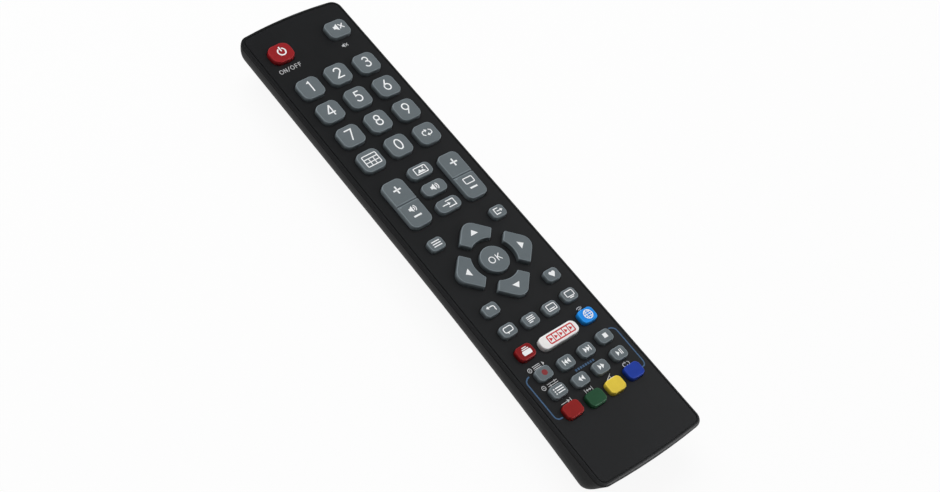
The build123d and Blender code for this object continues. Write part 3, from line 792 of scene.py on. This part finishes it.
def print_on(name, shapes, material, body, level, middle=(0.0, 0.0)):
    """Lays marks on a surface whose height is level(dx, dy), as thin closed solids of ink."""
    mesh = bmesh.new()

    def corner(p, depth):
        z = level(p.x, p.y) + ink_lift - depth
        return mesh.verts.new(((middle[0] + p.x) * mm, (ok_y + middle[1] + p.y) * mm, z * mm))

    for kind, *rings in shapes:
        if kind == "band":
            outer = [corner(p, 0) for p in rings[0]]
            inner = [corner(p, 0) for p in rings[1]]
            outer_low = [corner(p, ink_thickness) for p in rings[0]]
            inner_low = [corner(p, ink_thickness) for p in rings[1]]
            count = len(outer)
            for i in range(count):
                j = (i + 1) % count
                mesh.faces.new((outer[i], outer[j], inner[j], inner[i]))
                mesh.faces.new((inner[i], inner[j], inner_low[j], inner_low[i]))
                mesh.faces.new((inner_low[i], inner_low[j], outer_low[j], outer_low[i]))
                mesh.faces.new((outer_low[i], outer_low[j], outer[j], outer[i]))
            continue
        ring = rings[0]
        count = len(ring)
        border = [(i, (i + 1) % count) for i in range(count)]
        flat, _, faces, origin, _, _ = delaunay_2d_cdt(ring, border, [], 1, merge_distance)
        high = [corner(p, 0) for p in flat]
        low = [corner(p, ink_thickness) for p in flat]
        at = {k: i for i, sources in enumerate(origin) for k in sources}
        for face in faces:
            mesh.faces.new([high[i] for i in face])
            mesh.faces.new([low[i] for i in reversed(face)])
        for i in range(count):
            a, b = at[i], at[(i + 1) % count]
            if a != b:
                mesh.faces.new((high[a], high[b], low[b], low[a]))
    piece(mesh, name, material, body)


def on_key(key, shapes, material=white_ink):
    """Prints marks on a key, about its middle."""
    top = tops[key]
    print_on(key + "_mark", shapes, material, key, top.level, (top.x, top.y))


def slab(width, height, x=0.0, y=0.0):
    """A filled rectangle about a point."""
    left, right = x - width / 2, x + width / 2
    low, high = y - height / 2, y + height / 2
    return area([(left, low), (right, low), (right, high), (left, high)])


def digit(n):
    """A plain digit 5 mm high about the origin, drawn with one even pen."""
    pen = bold_pen
    if n == 0:
        return stroke(arc(0, 0, 1.36, 2.2, 0, 360, 40)[:-1], pen, True)
    if n == 1:
        return stroke([(-0.45, 1.75), (0.35, 2.25), (0.35, -2.25)], pen)
    if n == 2:
        bowl = arc(0, 0.95, 1.3, 1.27, 165, -32)
        return stroke(bowl + [(-1.35, -2.2), (1.45, -2.2)], pen)
    if n == 3:
        upper = arc(-0.05, 1.1, 1.12, 1.1, 150, -70)
        lower = arc(-0.1, -0.95, 1.32, 1.27, 78, -150)
        return stroke(upper, pen) + stroke([(-0.25, 0.24), (0.15, 0.29)], pen) + stroke(lower, pen)
    if n == 4:
        slope = stroke([(0.55, 2.2), (-1.55, -1.05)], pen)
        return slope + stroke([(-1.55, -1.05), (1.5, -1.05)], pen) + stroke([(0.7, 2.2), (0.7, -2.25)], pen)
    if n == 5:
        bowl = arc(-0.12, -0.8, 1.42, 1.42, 118, -145)
        return stroke([(1.2, 2.2), (-0.6, 2.2)] + bowl, pen)
    if n == 6:
        ring = arc(0, -0.88, 1.36, 1.36, 0, 360, 36)[:-1]
        return stroke(ring, pen, True) + stroke([(0.55, 2.25), (-1.15, -0.25)], pen)
    if n == 7:
        return stroke([(-1.4, 2.2), (1.35, 2.2), (-0.5, -2.25)], pen)
    if n == 8:
        upper = arc(0, 1.12, 1.08, 1.08, 0, 360, 32)[:-1]
        lower = arc(0, -0.98, 1.32, 1.24, 0, 360, 36)[:-1]
        return stroke(upper, pen, True) + stroke(lower, pen, True)
    return placed(digit(6), degrees=180)


for n in range(10):
    on_key(f"key_{n}", placed(digit(n), 0.1, 0.35))

plus = slab(3.4, 0.68) + slab(0.68, 3.4)
minus = slab(3.4, 0.75)
speaker = area([(-1.6, -0.6), (-0.85, -0.6), (0.25, -1.5), (0.25, 1.5), (-0.85, 0.6), (-1.6, 0.6)])
waves = stroke(arc(0.3, 0, 0.75, 0.85, -50, 50, 8), 0.38)
waves += stroke(arc(0.3, 0, 1.55, 1.6, -50, 50, 12), 0.38)
cross = stroke([(0.9, -0.85), (2.5, 0.85)], 0.42) + stroke([(0.9, 0.85), (2.5, -0.85)], 0.42)
muted = placed(speaker + cross, -0.45, 0)


def screen(width, height, pen=0.36):
    """The frame of a picture or a television screen."""
    return stroke(rounded_ring(width, height, 0.4), pen, True)


volume_mark = placed(speaker + waves, -0.15, -3.2, 0.92)
on_key("key_volume", placed(plus, 0.1, 6.2) + volume_mark + placed(minus, 0.1, -6.4))
channel_mark = placed(screen(4.2, 2.5, 0.42), 0.4, -3.15)
on_key("key_channel", placed(plus, 0.5, 6.1) + channel_mark + placed(minus, 0.3, -6.5))

power = stroke(arc(0, 0, 1.6, 1.6, 122, 418, 30), bold_pen) + stroke([(0, 0.4), (0, 2.2)], bold_pen)
on_key("key_power", placed(power, 0.3, 0.2))
on_key("key_mute", placed(muted, 0.6, 0.5, 1.12))

head = area([(-0.75, 0), (0.75, 0), (0, 1.05)])
tail = [(-1.2, -0.95), (-1.9, -0.45), (-1.9, 0.45), (-1.3, 0.95), (-0.45, 0.95)]
half_loop = stroke(tail, 0.4) + placed(head, -0.5, 0.95, 0.95, 270)
loop = half_loop + placed(half_loop, degrees=180)
on_key("key_swap", placed(loop, 0.1, 0.2, 1.08))

rows = stroke([(-3.0, 0.85), (3.0, 0.85)], 0.42) + stroke([(-3.0, -0.75), (3.0, -0.75)], 0.36)
columns = stroke([(-1.0, 0.85), (-1.0, -2.3)], 0.36) + stroke([(1.0, 0.85), (1.0, -2.3)], 0.36)
on_key("key_guide", placed(screen(6.2, 4.8, 0.42) + rows + columns, 0.2, 0.1))

hills = area([(-1.9, -0.9), (-0.65, 0.6), (0.15, -0.2), (0.7, 0.25), (1.9, -0.9)])
sun = area(arc(1.25, 0.72, 0.32, 0.32, 0, 360, 16)[:-1])
on_key("key_picture", placed(screen(5.4, 3.0, 0.4) + placed(hills, 0, -0.1) + sun, 0.2, 0.1))
on_key("key_sound", placed(speaker + waves, -0.1, 0.1, 1.0))
plug_in = stroke([(-2.9, 0), (-0.4, 0)], 0.42) + placed(head, -0.5, 0, 1.05, 270)
box = stroke([(-0.8, 1.4), (2.5, 1.4), (2.5, -1.4), (-0.8, -1.4)], 0.42)
on_key("key_source", placed(plug_in + box, 0.3, 0.1))

bars = slab(3.6, 0.42, 0, 1.0) + slab(3.6, 0.42) + slab(3.6, 0.42, 0, -1.0)
on_key("key_menu", placed(bars, 0.1, 0.1))
leave = stroke([(0.3, 1.2), (-1.6, 1.2), (-1.6, -1.2), (0.3, -1.2)], 0.4)
leave += stroke([(-0.6, 0), (1.2, 0)], 0.4) + placed(head, 1.0, 0, 0.95, 270)
on_key("key_exit", placed(leave, 0.1, 0.1))
back = stroke([(1.5, -1.0)] + arc(0.65, 0.1, 0.9, 0.8, -35, 90, 10) + [(-0.9, 0.9)], 0.42)
on_key("key_back", placed(back + placed(head, -0.75, 0.9, 1.0, 90), 0.1, 0))
heart = arc(-0.68, 0.42, 0.74, 0.68, 200, 25, 10)
heart += arc(0.68, 0.42, 0.74, 0.68, 155, -20, 10) + [(0, -1.45)]
on_key("key_favourite", placed(area(heart), 0.1, 0.15))
bubble = placed(stroke(rounded_ring(3.7, 2.1, 0.7), 0.38, True), 0, 0.3)
on_key("key_info", bubble + area([(-0.9, -0.7), (0.0, -0.7), (-0.95, -1.6)]))
page = slab(3.2, 0.36, 0, 1.1) + slab(3.2, 0.36, 0, 0.37) + slab(3.2, 0.36, 0, -0.37)
page += slab(1.8, 0.36, -0.7, -1.1)
on_key("key_text", placed(page, 0.1, 0.1))
on_key("key_subtitle", placed(screen(3.9, 2.5) + slab(2.5, 0.4, 0, -0.5), 0.1, 0.1))
on_key("key_tv", placed(screen(3.6, 2.2), 0.1, 0.35) + slab(1.9, 0.4, 0.1, -1.35))

crate = placed(area(rounded_ring(3.9, 1.9, 0.5)), 0.3, -0.45)
on_key("key_app_red", crate + slab(2.9, 0.38, 0.3, 0.95) + slab(1.9, 0.34, 0.3, 1.65))
frame_pitch = 2.4
film = stroke(rounded_ring(12.0, 3.2, 0.5), 0.5, True)
for k in range(4):
    film += slab(0.42, 2.9, (k - 1.5) * frame_pitch)
for k in range(5):
    film += placed(area([(-0.6, -0.85), (0.7, 0), (-0.6, 0.85)]), (k - 2) * frame_pitch, 0)
on_key("key_app_white", placed(film, 0.9, 0.05), red_ink)
globe = stroke(arc(0, 0, 1.8, 1.8, 0, 360, 36)[:-1], 0.36, True)
globe += stroke(arc(0, 0, 0.82, 1.8, 0, 360, 36)[:-1], 0.28, True)
globe += slab(3.5, 0.28) + slab(3.1, 0.26, 0, 0.92) + slab(3.1, 0.26, 0, -0.92)
on_key("key_smart", placed(globe, 0.3, 0.1))

on_key("key_record", placed(area(arc(0, 0, 1.15, 1.15, 0, 360, 28)[:-1]), 0.2, 0.1), dark_red_ink)
wedge = area([(-0.62, -1.1), (0.66, 0), (-0.62, 1.1)])
wedge_back = placed(wedge, degrees=180)
post = slab(0.36, 2.2)
skip_back = placed(post, -1.4, 0.1) + placed(wedge_back, -0.5, 0.1) + placed(wedge_back, 0.8, 0.1)
on_key("key_previous", skip_back)
on_key("key_next", placed(wedge, -0.7, 0.1) + placed(wedge, 0.6, 0.1) + placed(post, 1.5, 0.1))
on_key("key_stop", slab(1.85, 1.85, 0.1, 0.1))
lines = slab(3.2, 0.38, 0.75, 0.95) + slab(3.2, 0.38, 0.75) + slab(3.2, 0.38, 0.75, -0.95)
dots = slab(0.5, 0.5, -1.6, 0.95) + slab(0.5, 0.5, -1.6) + slab(0.5, 0.5, -1.6, -0.95)
on_key("key_record_list", placed(lines + dots, 0.0, 0.1))
on_key("key_rewind", placed(wedge_back, -0.6, 0.1) + placed(wedge_back, 0.75, 0.1))
on_key("key_forward", placed(wedge, -0.65, 0.1) + placed(wedge, 0.7, 0.1))
on_key("key_play", placed(wedge, -0.7, 0.1) + placed(post, 0.5, 0.1) + placed(post, 1.2, 0.1))

triangle = area([(-1.7, -0.8), (1.7, -0.8), (0, 1.35)])
triangle_radius = 12.8
for name, degrees in arrows.items():
    x, y = turned([(0, triangle_radius)], degrees)[0]
    on_key(name, placed(triangle, x, y, degrees=degrees))
letter_o = stroke(arc(0, 0, 1.2, 1.27, 0, 360, 32)[:-1], 0.38, True)
letter_k = stroke([(0, -1.27), (0, 1.27)], 0.38) + stroke([(1.55, 1.27), (0.15, -0.1)], 0.38)
letter_k += stroke([(0.5, 0.3), (1.6, -1.27)], 0.38)
on_key("key_ok", placed(letter_o, -1.4, 0) + placed(letter_k, 0.95, 0))


def on_face(name, shapes, x, y, material=face_ink):
    """Prints marks on the face, about a point measured from the OK key."""
    print_on(name, placed(shapes, x, y), material, "case", lambda across, along: face_z(across))


letter_pen = 0.25
round_o = stroke(arc(0, 0, 0.74, 0.85, 0, 360, 28)[:-1], letter_pen, True)
letter_n = stroke([(-0.52, -0.85), (-0.52, 0.85), (0.52, -0.85), (0.52, 0.85)], letter_pen)
letter_f = stroke([(-0.42, -0.85), (-0.42, 0.85), (0.48, 0.85)], letter_pen)
letter_f += stroke([(-0.42, 0.05), (0.36, 0.05)], letter_pen)
slash = stroke([(-0.42, -0.95), (0.42, 0.95)], letter_pen)
on_off = placed(round_o, -4.1, 0) + placed(letter_n, -2.25, 0) + placed(slash, -0.75, 0)
on_off += placed(round_o, 0.9, 0) + placed(letter_f, 2.8, 0) + placed(letter_f, 4.4, 0)
on_face("on_off_print", on_off, -13.8, 106.95)
on_face("mute_print", placed(muted, scale=0.64), 12.2, 106.75)

sign_pen = 0.26
signal = stroke(arc(0, -0.85, 0.75, 0.75, 40, 140, 8), sign_pen)
signal += stroke(arc(0, -0.85, 1.5, 1.5, 40, 140, 12), sign_pen)
signal += area(arc(0, -0.8, 0.24, 0.24, 0, 360, 12)[:-1])
on_face("smart_print", signal, 15.4, -31.75)
disc = placed(stroke(arc(0, 0, 0.75, 0.8, 0, 360, 24)[:-1], 0.24, True) + slab(0.4, 0.4), -3.2, 0)
titles = slab(3.4, sign_pen, 0.1, 0.65) + slab(3.4, sign_pen, 0.1) + slab(3.4, sign_pen, 0.1, -0.65)
on_face("disc_list_print", disc + titles + placed(wedge, 3.1, 0, 0.7), -14.8, -42.0)
sliders = slab(4.6, sign_pen, 0.9, 0.45) + slab(4.6, sign_pen, 0.9, -0.45)
sliders += slab(0.4, 0.75, 2.1, 0.45) + slab(0.4, 0.75, -0.3, -0.45)
on_face("disc_setup_print", disc + sliders, -14.9, -50.0)
go_to = stroke([(-2.3, 0), (0.6, 0)], sign_pen) + placed(head, 0.6, 0, 0.95, 270) + slab(0.28, 1.6, 2.1)
on_face("go_to_print", go_to, -14.6, -58.3)
span = slab(sign_pen, 1.6, -1.6) + slab(sign_pen, 1.6, 1.6) + slab(1.2, sign_pen)
span += placed(head, 0.4, 0, 0.75, 270) + placed(head, -0.4, 0, 0.75, 90)
on_face("span_print", span, -4.35, -58.9)
angle_sign = stroke([(1.7, -0.75), (-1.7, -0.75), (1.1, 0.85)], sign_pen)
angle_sign += stroke(arc(-1.7, -0.75, 2.1, 2.1, 3, 27, 6), 0.24)
on_face("angle_print", angle_sign, 5.9, -59.0)
on_face("repeat_print", placed(loop, scale=0.78), 15.3, -58.3)
squares = [shape for k in range(8) for shape in slab(0.8, 0.9, 1.2 * (k - 3.5))]
on_face("media_print", squares, 1.1, -50.7, blue_ink)


# Blue brackets: one fine printed line down each side of the recorder keys, hooked at both ends.
# They are printed on the face in one pass with the row of small blue squares.
bracket_pen = 0.5


def bracket(side):
    """The line on the right side, or on the left where side is -1."""
    path = [(19.9, -43.7), (20.9, -43.95)]
    path += arc(20.6, -46.0, 1.6, 1.9, 75, 0, 8)
    path += arc(20.6, -60.3, 1.6, 1.9, 0, -75, 8)
    path += [(19.8, -62.3)]
    return stroke([(side * x, y) for x, y in path], bracket_pen)


on_face("bracket_print_left", bracket(-1), 0, 0, blue_ink)
on_face("bracket_print_right", bracket(1), 0, 0, blue_ink)


# Case screw: a small cross-headed steel screw between the cells.
# It is zinc-plated, and its head is turned and pressed.
zinc, surface, place = finish("zinc_plate", Metallic=1.0)
turned_marks = noise(place, scale=3000, detail=2.0)
feed(
    surface,
    Base_Color=turned_marks.blend((0.42, 0.42, 0.44), (0.56, 0.56, 0.58)),
    Roughness=0.28 + 0.2 * turned_marks,
)
dress("case_screw", zinc)


# Battery cover: a moulded lid of the same black ABS, with its runners and thumb ribs.
# It slides in from the near end, so it shares the tub's texture.
dress("battery_cover", wall_plastic)


# Studio: a white paper floor, a broad soft lamp above the far end and a weaker one to the right.
# The paper glows where it is seen straight or mirrored, and the world behind it is white.
# The floor is clear from below, so that the underside of the remote can be looked at.
floor_reach = 6.0
floor_level = -0.0001
paper_white = (0.93, 0.93, 0.93)
glow_seen = (1.0, 1.0, 1.0)
glow_mirrored = (0.42, 0.42, 0.42)
glow_share = 0.92
corners = ((-1, -1), (1, -1), (1, 1), (-1, 1))
floor_mesh = bpy.data.meshes.new("floor")
floor_mesh.from_pydata(
    [(floor_reach * x, floor_reach * y, floor_level) for x, y in corners], [], [(0, 1, 2, 3)]
)
floor = bpy.data.objects.new("floor", floor_mesh)
bpy.context.scene.collection.objects.link(floor)
paper = bpy.data.materials.new("white_paper")
paper.use_nodes = True
tree = paper.node_tree
tree.nodes.clear()
start = Wire(tree)


def seen_rays(wire):
    """One for the rays that show the studio itself: straight, mirrored or through clear resin."""
    rays = wire.node("ShaderNodeLightPath")
    mirrored = rays.sum("MAXIMUM", rays.out("Is Glossy Ray"), rays.out("Is Transmission Ray"))
    return rays.sum("MAXIMUM", rays.out("Is Camera Ray"), mirrored)


matt = start.node("ShaderNodeBsdfDiffuse", None, {"Color": (*paper_white, 1)})
straight = start.node("ShaderNodeLightPath").out("Is Camera Ray")
paper_glow = straight.blend(glow_mirrored, glow_seen)
glow = start.node("ShaderNodeEmission", None, {"Color": paper_glow, "Strength": 1.0})
above = start.node("ShaderNodeMixShader", None, {0: seen_rays(start) * glow_share, 1: matt, 2: glow})
from_below = start.node("ShaderNodeNewGeometry").out("Backfacing")
clear = start.node("ShaderNodeBsdfTransparent")
mixed = start.node("ShaderNodeMixShader", None, {0: from_below, 1: above, 2: clear})
output = tree.nodes.new("ShaderNodeOutputMaterial")
tree.links.new(mixed.socket, output.inputs["Surface"])
floor_mesh.materials.append(paper)

world = bpy.data.worlds.new("studio")
bpy.context.scene.world = world
world.use_nodes = True
tree = world.node_tree
way = Wire(tree).node("ShaderNodeTexCoord").out("Generated")
split = way.node("ShaderNodeSeparateXYZ", None, {0: way})
across, along, up = split.out("X"), split.out("Y"), split.out("Z")

# What shiny things mirror is pale towards the near end and round the horizon, with a bright strip
# low over the near right corner. The light that is shed comes mostly from the far end and above.
to_strip = across * 0.56 + along * (-0.74) + up * 0.37
to_far_top = along * 0.85 + up * 0.5
mirror_level = level_run(along, low=0.12, high=0.48, at_low=0.95, at_high=0.08)
mirror_level = mirror_level + level_run(up, low=0.10, high=0.45, at_low=0.6, at_high=0.0)
mirror_level = mirror_level + level_run(to_strip, low=0.82, high=0.96, at_low=0.0, at_high=6.0)
shed_level = level_run(to_far_top, low=-0.2, high=0.8, at_low=0.02, at_high=0.62)
straight = way.node("ShaderNodeLightPath").out("Is Camera Ray")
seen_level = way.sum("MAXIMUM", straight, mirror_level)
strength = shed_level + (seen_level - shed_level) * seen_rays(way)
background = tree.nodes["Background"]
background.inputs["Color"].default_value = (1, 1, 1, 1)
tree.links.new(strength.socket, background.inputs["Strength"])


lamp_side = 1.2


def lamp(name, place, power):
    """A square soft lamp that shines at the remote, and isn't itself mirrored in it."""
    light = bpy.data.lights.new(name, "AREA")
    light.shape = "RECTANGLE"
    light.size = lamp_side
    light.size_y = lamp_side
    light.energy = power
    holder = bpy.data.objects.new(name, light)
    holder.location = place
    holder.rotation_mode = "QUATERNION"
    holder.rotation_quaternion = Vector(place).to_track_quat("Z", "Y")
    holder.visible_glossy = False
    bpy.context.scene.collection.objects.link(holder)


lamp("far_lamp", place=(-0.08, 0.85, 1.30), power=15.0)
lamp("right_lamp", place=(0.95, -0.55, 1.15), power=3.0)

# The camera stands above and to the left of the near end, where the photo's stood.
camera_data = bpy.data.cameras.new("camera")
camera_data.lens = 67.06
camera_data.sensor_width = 36.0
camera_data.sensor_fit = "HORIZONTAL"
camera_data.clip_start = 0.01
camera_data.clip_end = 50
camera = bpy.data.objects.new("camera", camera_data)
camera.matrix_world = Matrix(
    (
        (0.74229, 0.40164, -0.53638, -0.34328),
        (-0.61382, 0.72859, -0.30390, -0.20132),
        (0.26874, 0.55482, 0.78737, 0.51965),
        (0, 0, 0, 1),
    )
)
camera_data.shift_y = -0.0006
bpy.context.scene.collection.objects.link(camera)
bpy.context.scene.camera = camera
bpy.context.scene.view_settings.view_transform = "Standard"
